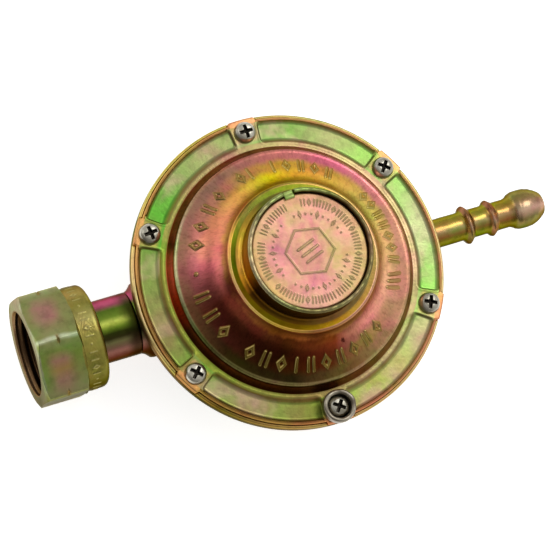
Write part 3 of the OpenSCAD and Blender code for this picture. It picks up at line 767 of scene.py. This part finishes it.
    # raised marks in olive gold, with a painted highlight of pale gold along their edges
    relief = n.attr("relief")
    body = n.grey(relief, [(0.0, 0), (0.04, 0.55), (0.25, 0.75), (0.75, 0.95), (1.0, 0.95)])
    olive = n.ramp(n.noise(180, 2), [(0.3, lin((112, 98, 34))), (0.7, lin((158, 138, 66)))])
    col = n.mix(body, col, n.mix(0.30, olive, col))
    # painted highlight: pale gold on the marks' edges
    rim = n.grey(relief, [(0.0, 0), (0.30, 0.0), (0.55, 0.55), (0.8, 0.1), (1.0, 0.0)])
    col = n.mix(rim, col, lin((216, 196, 128)))
    rough = n.math("ADD", n.math("MULTIPLY", fine, 0.16), 0.23)
    rough = n.math("ADD", rough, n.math("MULTIPLY", n.span(r, 30.0, 31.5), 0.07))
    h = n.math("ADD", n.math("MULTIPLY", fine, 0.5), n.math("MULTIPLY", n.noise(900, 2, 0.5), 0.5))
    h = n.math("ADD", h, n.math("MULTIPLY", n.noise(55.0, 3, 0.6, vec=sv), 0.6))
    n.bump(h, 0.16, 0.0003)
    n.bsdf.inputs["Specular Tint"].default_value = (0.55, 0.5, 0.4, 1)
    return n.finish(col, 1.0, rough)


def turned_material(name, axis, tables, r_table=None, rough=(0.26, 0.14), metallic=1.0, mottle=0.12, bump=0.14, line=0.0, relief=None, edge=None, bore=None, wander=0.8, mott_scale=140):
    """For turned pieces: colour round the axis in zones along it; the colours round the axis hold painted highlights,
    painted reflections and painted shade besides the finish's own colour. tables: [(from, to, table)], in mm along the
    axis or the height.
    """
    n = Net(name)
    soft = n.noise(90, 3, 0.55)
    fine = n.noise(330, 3, 0.6)
    if axis == "x":
        fac = n.turn(n.math("MULTIPLY", n.y, -1.0), n.math("SUBTRACT", n.z, AX * MM), 0.03, soft)
        along = n.math("MULTIPLY", n.x, 1000.0)
    else:
        fac = n.turn(n.y, n.x, 0.03, soft)
        along = n.math("MULTIPLY", n.z, 1000.0)
    along2 = n.math("ADD", along, n.math("MULTIPLY", n.math("SUBTRACT", soft, 0.5), wander))
    col = n.ramp(fac, angle_stops(tables[0][2]))
    for lo, hi, table in tables[1:]:
        col = n.mix(n.span(along2, lo, hi), col, n.ramp(fac, angle_stops(table)))
    mott = n.ramp(n.noise(mott_scale, 4, 0.62), [(0.30, (0.62, 0.98, 0.50, 1)), (0.45, (0.96, 0.98, 0.84, 1)), (0.56, (1.0, 0.84, 0.80, 1)), (0.72, (1.0, 0.62, 0.74, 1))])
    col = n.mix(min(1.0, mottle * 5), col, mott, "MULTIPLY")
    if bore:
        # painted shade: inside the bore the colour darkens from the mouth inwards
        yz = n.vec(0.0, n.y, n.math("SUBTRACT", n.z, AX * MM))
        vl = n.t.nodes.new("ShaderNodeVectorMath")
        vl.operation = "LENGTH"
        n.link(yz, vl.inputs[0])
        col = n.mix(n.span(vl.outputs["Value"], bore[0] * MM, (bore[0] - 0.3) * MM), col, n.mix(n.span(along, -62.9, -61.4), lin(bore[1]), lin(bore[2])))
    col = n.mix(1.0, col, n.grey(n.noise(450, 3, 0.6), [(0.3, 0.78), (0.52, 1.0), (1.0, 1.0)]), "MULTIPLY")
    if relief:
        a = n.attr("relief")
        col = n.mix(n.grey(a, [(0.0, 0), (0.4, 0.2), (0.8, 0.8), (1.0, 0.8)]), col, lin(relief))
    if edge:
        col = n.mix(n.math("MULTIPLY", n.attr("edge"), 0.75), col, lin(edge))
    r = n.math("ADD", n.math("MULTIPLY", fine, rough[1]), rough[0])
    turning = n.noise(1.0, 2, 0.5, vec=n.vec(n.math("MULTIPLY", along, 6.0), 0.0, 0.0)) if line else None
    h = n.math("ADD", n.math("MULTIPLY", fine, 0.6), n.math("MULTIPLY", n.noise(900, 2), 0.4))
    if turning is not None:
        h = n.math("ADD", h, n.math("MULTIPLY", turning, line))
    n.bump(h, bump, 0.0003)
    n.bsdf.inputs["Specular Tint"].default_value = (0.5, 0.46, 0.36, 1)
    return n.finish(col, metallic, r)


def cap_material():
    n = Net("chromate_cap")
    xy = n.vec(n.x, n.y, 0.0)
    vl = n.t.nodes.new("ShaderNodeVectorMath")
    vl.operation = "LENGTH"
    n.link(xy, vl.inputs[0])
    r = n.math("MULTIPLY", vl.outputs["Value"], 1000.0)
    col = n.ramp(n.noise(95, 3, 0.6, distort=0.6), [(0.30, lin((196, 178, 110))), (0.42, lin((218, 180, 140))), (0.53, lin((222, 160, 145))), (0.64, lin((206, 134, 142))), (0.78, lin((198, 176, 150)))])
    side = n.turn(n.y, n.x, 0.05, n.noise(60, 2))
    tint = n.ramp(side, angle_stops([(0, (214, 196, 120)), (40, (206, 170, 120)), (90, (216, 180, 120)), (130, (206, 170, 130)), (170, (200, 190, 90)), (215, (214, 196, 100)), (250, (216, 160, 150)), (300, (210, 190, 120)), (340, (206, 190, 110))]))
    col = n.mix(n.span(r, 8.0, 13.2, 0.0, 0.65), col, tint)
    col = n.mix(n.span(r, 7.5, 4.0, 0.0, 0.25), col, lin((190, 150, 110)))
    col = n.mix(1.0, col, (0.90, 0.84, 0.90, 1), "MULTIPLY")
    zc = n.math("MULTIPLY", n.z, 1000.0)
    col = n.mix(n.math("MULTIPLY", n.span(zc, 46.72, 46.8), n.span(r, 12.2, 12.4)), col, n.ramp(n.noise(160, 2), [(0.3, lin((140, 172, 84))), (0.7, lin((190, 196, 130)))]))
    relief = n.attr("relief")
    olive = n.ramp(n.noise(200, 2), [(0.3, lin((120, 124, 66))), (0.7, lin((160, 154, 92)))])
    col = n.mix(n.grey(relief, [(0.0, 0), (0.3, 0.2), (0.7, 0.62), (1.0, 0.62)]), col, n.mix(0.25, olive, col))
    # painted highlight: pale cream along the marks' edges
    col = n.mix(n.grey(relief, [(0.0, 0), (0.12, 0.35), (0.35, 0.0), (1.0, 0.0)]), col, lin((238, 222, 180)))
    col = n.mix(1.0, col, n.grey(n.noise(500, 3, 0.6), [(0.3, 0.80), (0.5, 1.0), (1.0, 1.0)]), "MULTIPLY")
    col = n.mix(0.8, col, n.ramp(n.noise(330, 3, 0.65), [(0.34, (0.86, 0.98, 0.70, 1)), (0.5, (1.0, 0.97, 0.92, 1)), (0.66, (0.98, 0.80, 0.84, 1))]), "MULTIPLY")
    fine = n.noise(350, 3, 0.6)
    h = n.math("ADD", n.math("MULTIPLY", fine, 0.7), n.math("MULTIPLY", n.noise(1000, 2), 0.3))
    n.bump(h, 0.2, 0.0003)
    return n.finish(col, 0.82, n.math("ADD", n.math("MULTIPLY", fine, 0.16), 0.33))


def steel(name, light, dark, rough=0.3, metallic=1.0, scale=300, recess_shade=None):
    n = Net(name)
    f = n.noise(scale, 3, 0.6)
    col = n.ramp(f, [(0.3, lin(dark)), (0.65, lin(light))])
    if recess_shade:
        # painted shade: the cross recess in each screw head is painted near black
        col = n.mix(n.grey(n.attr("relief"), [(0.0, 0), (0.3, 0.35), (0.7, 1.0), (1.0, 1.0)]), col, lin(recess_shade))
    n.bump(n.math("ADD", f, n.math("MULTIPLY", n.noise(scale * 3, 2), 0.5)), 0.15, 0.0003)
    return n.finish(col, metallic, n.math("ADD", n.math("MULTIPLY", f, 0.18), rough - 0.08))


def rubber(name, light, dark):
    n = Net(name)
    f = n.noise(420, 3, 0.6)
    n.bump(f, 0.3, 0.0002)
    return n.finish(n.ramp(f, [(0.3, lin(dark)), (0.7, lin(light))]), 0.0, n.math("ADD", n.math("MULTIPLY", f, 0.2), 0.5))


def give(ob, mat):
    ob.data.materials.clear()
    ob.data.materials.append(mat)


mat_bonnet = bonnet_material()
mat_cap = cap_material()
# body colours round the axis, zone by zone up the height, with painted light: a painted highlight of pale gold on the
# flange's edge near 180 degrees and painted shade near 215 degrees
body_tabs = [(0, 1, [(0, (170, 160, 90)), (60, (150, 150, 70)), (120, (110, 130, 50)), (170, (190, 110, 110)), (210, (90, 110, 40)), (260, (160, 130, 80)), (310, (180, 150, 110))]),
             (12, 17, [(0, (190, 170, 96)), (50, (120, 150, 70)), (110, (176, 120, 110)), (160, (120, 140, 60)), (210, (150, 110, 90)), (260, (120, 150, 70)), (310, (190, 150, 110))]),
             (22.0, 23.2, [(0, (190, 170, 110)), (60, (128, 138, 84)), (110, (118, 130, 60)), (150, (96, 122, 40)), (180, (190, 150, 110)), (215, (60, 60, 26)), (250, (120, 96, 50)), (300, (170, 150, 100))]),
             (25.2, 25.8, [(0, (214, 196, 130)), (60, (190, 178, 110)), (110, (206, 186, 92)), (150, (228, 206, 120)), (180, (248, 232, 170)), (205, (200, 176, 90)), (222, (128, 104, 40)), (250, (180, 150, 84)), (300, (206, 180, 116)), (340, (226, 206, 150))])]
mat_body = turned_material("chromate_body_with_painted_light", "z", body_tabs, mottle=0.10, rough=(0.28, 0.15))
# stem colours round the axis hold a painted highlight near 0 degrees and painted shade from about 17 to 26 and 64 to 98
# degrees
stem_tab = [(0, (150, 162, 66)), (8, (104, 126, 38)), (17, (50, 54, 18)), (26, (52, 48, 22)), (34, (120, 116, 74)), (48, (132, 92, 80)), (64, (104, 58, 50)), (82, (72, 38, 32)), (98, (50, 28, 20)), (130, (100, 84, 40)), (170, (150, 120, 80)), (220, (130, 130, 60)),
            (262, (90, 50, 44)), (285, (132, 60, 80)), (304, (170, 74, 108)), (320, (160, 78, 100)), (331, (92, 118, 40)), (346, (110, 136, 48)), (355, (160, 172, 78))]
# near the flange the stem goes dark: painted shade under the flange
mat_stem = turned_material("chromate_stem_with_painted_light", "x", [(0, 1, stem_tab), (-41.5, -38.5, [(0, (70, 80, 26)), (20, (34, 36, 12)), (45, (70, 50, 36)), (80, (44, 22, 16)), (130, (100, 84, 40)), (200, (140, 120, 80)), (270, (80, 40, 50)), (305, (120, 60, 76)), (330, (60, 70, 26))])], mottle=0.08, rough=(0.24, 0.12), line=0.5)
# the boss's flare beside the flange goes dark on most sides: painted shade under the flange
mat_boss = turned_material("chromate_boss_with_painted_light", "x", [(0, 1, stem_tab), (-37.2, -35.4, [(0, (60, 64, 26)), (40, (44, 40, 16)), (80, (60, 30, 14)), (130, (110, 80, 50)), (180, (160, 120, 90)), (240, (150, 90, 80)), (290, (140, 80, 80)), (330, (64, 70, 30))])],
                           mottle=0.10, rough=(0.28, 0.14))
# outlet boss and barb colours round the axis: painted highlights from about 0 to 20 degrees and painted shade from
# about 80 to 100 degrees, on the shank, the ridges and the bulb
out_tab = [(0, (170, 140, 90)), (10, (180, 160, 110)), (20, (160, 140, 80)), (32, (150, 110, 56)), (44, (132, 124, 34)), (62, (112, 116, 30)), (80, (84, 88, 26)), (98, (66, 66, 26)), (130, (110, 100, 40)), (180, (120, 110, 60)), (230, (130, 120, 60)), (278, (86, 86, 44)), (296, (128, 122, 56)), (318, (140, 132, 44)), (338, (164, 138, 60)), (352, (196, 160, 92))]
mat_outboss = turned_material("chromate_outlet_boss_with_painted_light", "x", [(0, 1, out_tab)], mottle=0.10)
ridge_tab = [(0, (190, 150, 110)), (20, (200, 170, 140)), (35, (170, 130, 90)), (60, (130, 100, 60)), (90, (80, 60, 30)), (130, (90, 60, 40)), (180, (120, 84, 60)), (240, (120, 84, 60)), (280, (110, 74, 54)), (310, (150, 104, 80)), (340, (132, 88, 64))]
bulb_tab = [(0, (176, 150, 124)), (14, (214, 186, 160)), (28, (190, 160, 130)), (42, (140, 128, 78)), (62, (124, 120, 62)), (84, (90, 92, 46)), (98, (62, 62, 34)), (160, (120, 100, 70)), (220, (130, 118, 80)), (275, (92, 92, 56)), (295, (128, 124, 72)), (318, (140, 138, 74)), (338, (150, 134, 84)), (350, (168, 140, 108))]
mat_barb = turned_material("chromate_barb_with_painted_light", "x", [(0, 1, out_tab), (47.7, 48.1, ridge_tab), (49.6, 50.1, out_tab), (54.1, 54.5, ridge_tab), (55.9, 56.4, out_tab), (60.6, 61.4, bulb_tab)], mottle=0.17, rough=(0.22, 0.12), line=0.4, mott_scale=200)
# nut colours round the axis: a painted highlight on the corner at 2 degrees and painted shade from about 90 to 110
# degrees, on the flats and the collar
nut_tab = [(2, (214, 224, 192)), (5, (150, 156, 104)), (14, (132, 152, 76)), (24, (168, 128, 108)), (34, (164, 138, 84)), (46, (166, 130, 110)), (58, (150, 138, 100)), (62, (140, 140, 92)), (74, (110, 116, 70)), (92, (88, 86, 54)), (110, (90, 92, 56)),
           (122, (170, 166, 126)), (150, (150, 124, 100)), (182, (170, 160, 120)), (210, (150, 120, 96)), (242, (180, 170, 130)), (268, (110, 104, 74)), (290, (126, 122, 86)), (302, (170, 172, 128)), (309, (148, 150, 100)), (322, (176, 128, 118)), (336, (180, 130, 122)), (350, (150, 148, 100)), (359, (150, 156, 104))]
nut_green = [(2, (206, 218, 182)), (5, (142, 152, 92)), (20, (124, 148, 66)), (45, (138, 144, 84)), (58, (146, 146, 98)), (62, (136, 138, 90)), (76, (104, 110, 64)), (95, (84, 84, 52)), (122, (170, 164, 120)), (150, (140, 136, 90)), (182, (160, 156, 110)), (240, (150, 150, 100)),
             (268, (104, 104, 70)), (302, (168, 170, 124)), (309, (140, 148, 90)), (330, (146, 148, 94)), (350, (142, 150, 92)), (359, (142, 152, 92))]
mouth_tab = [(0, (170, 170, 140)), (60, (140, 140, 110)), (100, (100, 100, 70)), (140, (130, 120, 90)), (180, (170, 160, 130)), (240, (180, 170, 140)), (300, (180, 180, 150))]
collar_tab = [(0, (150, 142, 74)), (20, (156, 148, 72)), (45, (130, 122, 56)), (70, (96, 90, 40)), (95, (60, 54, 24)), (130, (110, 100, 44)), (180, (150, 120, 80)), (240, (150, 120, 80)), (280, (96, 84, 44)), (305, (150, 128, 80)), (330, (146, 138, 66)), (348, (168, 168, 98))]
mat_nut = turned_material("zinc_nut_with_painted_light", "x", [(0, 1, mouth_tab), (-62.9, -62.4, nut_green), (-62.3, -59.0, nut_tab), (-57.4, -53.6, nut_green), (-52.45, -52.25, collar_tab)], mottle=0.12, rough=(0.27, 0.15), relief=(170, 160, 98), edge=(130, 100, 44), bore=(10.55, (150, 118, 84), (74, 54, 34)), wander=3.0, mott_scale=110)
mat_screw = steel("screw_steel", (196, 192, 176), (138, 132, 116), 0.28, recess_shade=(40, 36, 30))
mat_cup = steel("cup_steel", (168, 160, 142), (104, 94, 80), 0.32)
mat_brass = steel("turned_brass", (200, 164, 84), (168, 128, 56), 0.3, scale=220)
mat_pressed = steel("pressed_zinc_steel", (190, 188, 176), (150, 146, 132), 0.34, scale=200)
mat_spring = steel("spring_wire", (150, 148, 142), (96, 94, 90), 0.3, scale=260)
mat_rubber = rubber("black_rubber", (46, 46, 46), (22, 22, 23))
mat_gasket = rubber("gasket_rubber", (60, 46, 38), (30, 24, 20))
mat_plastic = rubber("grey_plastic", (120, 116, 106), (90, 86, 78))

# ------------------------------------------------------------------ put the pieces on their bodies
give(bonnet, mat_bonnet)
joined("bonnet_casting", [bonnet], "regulator", ("bonnet",))
for o in [bowl] + bosses:
    give(o, mat_body)
joined("body_bowl", [bowl] + bosses, "regulator", ("body_casting",))
give(inlet_boss, mat_boss)
joined("inlet_boss", [inlet_boss], "regulator")
give(outlet_boss, mat_outboss)
joined("outlet_boss", [outlet_boss], "regulator")
for o in (cap, tab):
    give(o, mat_cap)
joined("cap_face", [cap, tab], "regulator", ("cap_disc",))
for o in screws:
    give(o, mat_screw)
joined("cover_screws", screws, "regulator", ("bonnet_screws",))
give(cup, mat_cup)
joined("sealing_cup", [cup], "regulator", ("seal_cup",))
give(nipple, mat_stem)
joined("inlet_stem", [nipple], "regulator", ("inlet_nipple",))
give(barb, mat_barb)
joined("hose_barb", [barb], "regulator", ("outlet_barb",))
give(nut, mat_nut)
joined("coupling_nut", [nut], "inlet_nut", ("union_nut",))

inside = {
    "inlet_gasket": mat_gasket, "inlet_filter": mat_brass, "inlet_nozzle": mat_brass, "nozzle_oring": mat_rubber, "lever_pin": mat_pressed,
    "diaphragm": mat_rubber, "main_spring": mat_spring, "diaphragm_plate": mat_pressed, "diaphragm_washer": mat_pressed, "diaphragm_stem": mat_brass,
    "lever": mat_pressed, "pad_holder": mat_brass, "valve_pad": mat_rubber, "spring_seat": mat_pressed, "adjusting_screw": mat_plastic}
for name, m in inside.items():
    give(nodes[name], m)

# ------------------------------------------------------------------ the two parts that flex, hidden inside
def flexing(ob, material, node):
    give(ob, material)
    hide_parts(node)
    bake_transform(ob)


# The diaphragm in sectors, each the same section swept through its own angle, meeting its neighbours edge to edge.
SECTORS = 12
rad = np.unique(np.round(np.concatenate([[2.26, 20.8, 21.0, 21.7, 22.0, 26.3, 26.6, 27.6, 27.8, 31.5], np.linspace(2.26, 20.8, 9), np.linspace(21.0, 28.0, 22)]), 3))
low_z = np.interp(rad, [2.26, 21.0, 22.0, 26.6, 27.8, 31.5], [22.0, 22.0, 22.1, 24.25, 24.4, 24.4])
top_z = np.interp(rad, [2.26, 20.8, 21.7, 26.3, 27.6, 31.5], [22.8, 22.8, 22.9, 25.0, 25.2, 25.2])
NR, NA = len(rad), 9
for k in range(SECTORS):
    mid = 2 * math.pi * (k + 0.5) / SECTORS
    ang = mid + np.linspace(-0.5, 0.5, NA) * 2 * math.pi / SECTORS
    rr_, aa_ = np.meshgrid(rad, ang, indexing="ij")
    sheets = [np.stack([rr_ * np.cos(aa_), rr_ * np.sin(aa_), np.repeat(z[:, None], NA, 1)], -1).reshape(-1, 3) for z in (low_z, top_z)]

    def at(side, i, j):
        return side * NR * NA + i * NA + j

    quads = []
    for i in range(NR - 1):
        for j in range(NA - 1):
            quads.append((at(1, i, j), at(1, i + 1, j), at(1, i + 1, j + 1), at(1, i, j + 1)))
            quads.append((at(0, i, j + 1), at(0, i + 1, j + 1), at(0, i + 1, j), at(0, i, j)))
        quads.append((at(0, i, NA - 1), at(1, i, NA - 1), at(1, i + 1, NA - 1), at(0, i + 1, NA - 1)))
        quads.append((at(0, i + 1, 0), at(1, i + 1, 0), at(1, i, 0), at(0, i, 0)))
    for j in range(NA - 1):
        quads.append((at(0, NR - 1, j), at(0, NR - 1, j + 1), at(1, NR - 1, j + 1), at(1, NR - 1, j)))
        quads.append((at(1, 0, j), at(1, 0, j + 1), at(0, 0, j + 1), at(0, 0, j)))
    ob = mesh_object("diaphragm_sector_%02d" % (k + 1), np.concatenate(sheets), np.array(quads), np.zeros((0, 3), int), {}, None)
    flexing(ob, mat_rubber, "diaphragm")

# The spring in two halves, which meet at rest height.
COILS, WIRE, SPRING_R, Z0, Z1, PER, RING = 6, 0.5, 8.2, 23.62, 38.48, 36, 14
run = Z1 - Z0 - 2 * WIRE
first = 2 * WIRE + 0.03
steps = COILS * PER
b_ = 2 * math.pi * np.arange(RING) / RING
for name, lo, hi in (("spring_lower", 0, steps // 2), ("spring_upper", steps // 2, steps)):
    i_ = np.arange(lo, hi + 1)
    u = i_ / PER
    rise = np.where(u < 1, first * u, np.where(u > COILS - 1, run - first * (COILS - u), first + (run - 2 * first) * (u - 1) / (COILS - 2)))
    turn = 2 * math.pi * u
    r_ = SPRING_R + WIRE * np.cos(b_)[None, :]
    P = np.stack([r_ * np.cos(turn)[:, None], r_ * np.sin(turn)[:, None], (Z0 + WIRE + rise)[:, None] + WIRE * np.sin(b_)[None, :]], -1)
    n_ = len(i_)
    ends = np.stack([P[0].mean(0), P[-1].mean(0)])
    verts = np.concatenate([P.reshape(-1, 3), ends])
    quads = np.array([(i * RING + j, (i + 1) * RING + j, (i + 1) * RING + (j + 1) % RING, i * RING + (j + 1) % RING) for i in range(n_ - 1) for j in range(RING)])
    tris = np.array([(n_ * RING, j, (j + 1) % RING) for j in range(RING)] + [(n_ * RING + 1, (n_ - 1) * RING + (j + 1) % RING, (n_ - 1) * RING + j) for j in range(RING)])
    ob = mesh_object(name, verts, quads, tris, {}, None)
    if lo == 0:
        flexing(ob, mat_spring, "main_spring")
    else:
        flexing(ob, mat_spring, "main_spring")

# ------------------------------------------------------------------ floor, light, camera
floor_me = bpy.data.meshes.new("floor")
floor_me.from_pydata([(-3, -3, -0.0004), (3, -3, -0.0004), (3, 3, -0.0004), (-3, 3, -0.0004)], [], [(0, 1, 2, 3)])
floor = bpy.data.objects.new("floor", floor_me)
bpy.context.scene.collection.objects.link(floor)
fm = bpy.data.materials.new("floor_pale")
fm.use_nodes = True
ft = fm.node_tree
fb = ft.nodes["Principled BSDF"]
fb.inputs["Base Color"].default_value = (0.86, 0.86, 0.86, 1)
fb.inputs["Roughness"].default_value = 0.9
fb.inputs["Emission Color"].default_value = (1, 1, 1, 1)
fb.inputs["Emission Strength"].default_value = 0.7
floor_me.materials.append(fm)

az, el, roll, D, f_over = math.radians(-64.0), math.radians(72.24), math.radians(46.53), 589.6, 4.31
back = np.array([math.sin(az) * math.cos(el), -math.cos(az) * math.cos(el), math.sin(el)])
right0 = np.array([math.cos(az), math.sin(az), 0.0])
up0 = np.cross(back, right0)
right = math.cos(roll) * right0 + math.sin(roll) * up0
up = -math.sin(roll) * right0 + math.cos(roll) * up0
ox, oy = (292.49 - 275) / f_over, -(267.33 - 275) / f_over
loc = (np.array([0, 0, 28.95]) + D * back - ox * right - oy * up) * MM
cam = bpy.data.objects.new("camera", bpy.data.cameras.new("camera"))
bpy.context.scene.collection.objects.link(cam)
from mathutils import Matrix, Vector
cam.matrix_world = Matrix(((right[0], up[0], back[0], loc[0]), (right[1], up[1], back[1], loc[1]), (right[2], up[2], back[2], loc[2]), (0, 0, 0, 1)))
cam.data.sensor_width = 36.0
cam.data.lens = 36.0 * (f_over * D) / 550.0
cam.data.clip_start = 0.01
cam.data.clip_end = 20
bpy.context.scene.camera = cam


def area_light(name, direction, dist, size, power, color=(1, 1, 1)):
    d = Vector([float(v) for v in direction]).normalized()
    li = bpy.data.lights.new(name, "AREA")
    li.shape = "DISK"
    li.size = size
    li.energy = power
    li.color = color
    o = bpy.data.objects.new(name, li)
    bpy.context.scene.collection.objects.link(o)
    o.location = Vector((0, 0, 0.02)) + d * dist
    o.rotation_euler = d.to_track_quat("Z", "Y").to_euler()
    return o


area_light("key", 0.75 * right + 0.75 * up + 0.9 * back, 0.9, 0.40, 1.6)
area_light("fill", -1.0 * right + 0.6 * up + 0.8 * back, 1.0, 0.5, 0.8)

world = bpy.data.worlds.new("studio")
bpy.context.scene.world = world
world.use_nodes = True
wt = world.node_tree
wt.nodes.clear()
wo = wt.nodes.new("ShaderNodeOutputWorld")
bg = wt.nodes.new("ShaderNodeBackground")
wt.links.new(bg.outputs[0], wo.inputs[0])
tc_ = wt.nodes.new("ShaderNodeTexCoord")
dot = wt.nodes.new("ShaderNodeVectorMath")
dot.operation = "DOT_PRODUCT"
dv = -0.62 * right - 0.72 * up + 0.15 * back
dv = dv / np.linalg.norm(dv)
dot.inputs[1].default_value = tuple(float(v) for v in dv)
wt.links.new(tc_.outputs["Generated"], dot.inputs[0])
wr = wt.nodes.new("ShaderNodeValToRGB")
wmap = wt.nodes.new("ShaderNodeMapRange")
wt.links.new(dot.outputs["Value"], wmap.inputs[0])
wmap.inputs[1].default_value = -1.0
wmap.inputs[2].default_value = 1.0
wt.links.new(wmap.outputs[0], wr.inputs[0])
els = wr.color_ramp.elements
els[0].position, els[0].color = 0.0, (1.0, 1.0, 1.0, 1)
els[1].position, els[1].color = 1.0, (0.18, 0.17, 0.16, 1)
e = els.new(0.55)
e.color = (0.86, 0.86, 0.86, 1)
e = els.new(0.78)
e.color = (0.36, 0.35, 0.34, 1)
wt.links.new(wr.outputs[0], bg.inputs[0])
bg.inputs[1].default_value = 0.80
bpy.context.scene.view_settings.view_transform = "Standard"

bpy.context.view_layer.update()
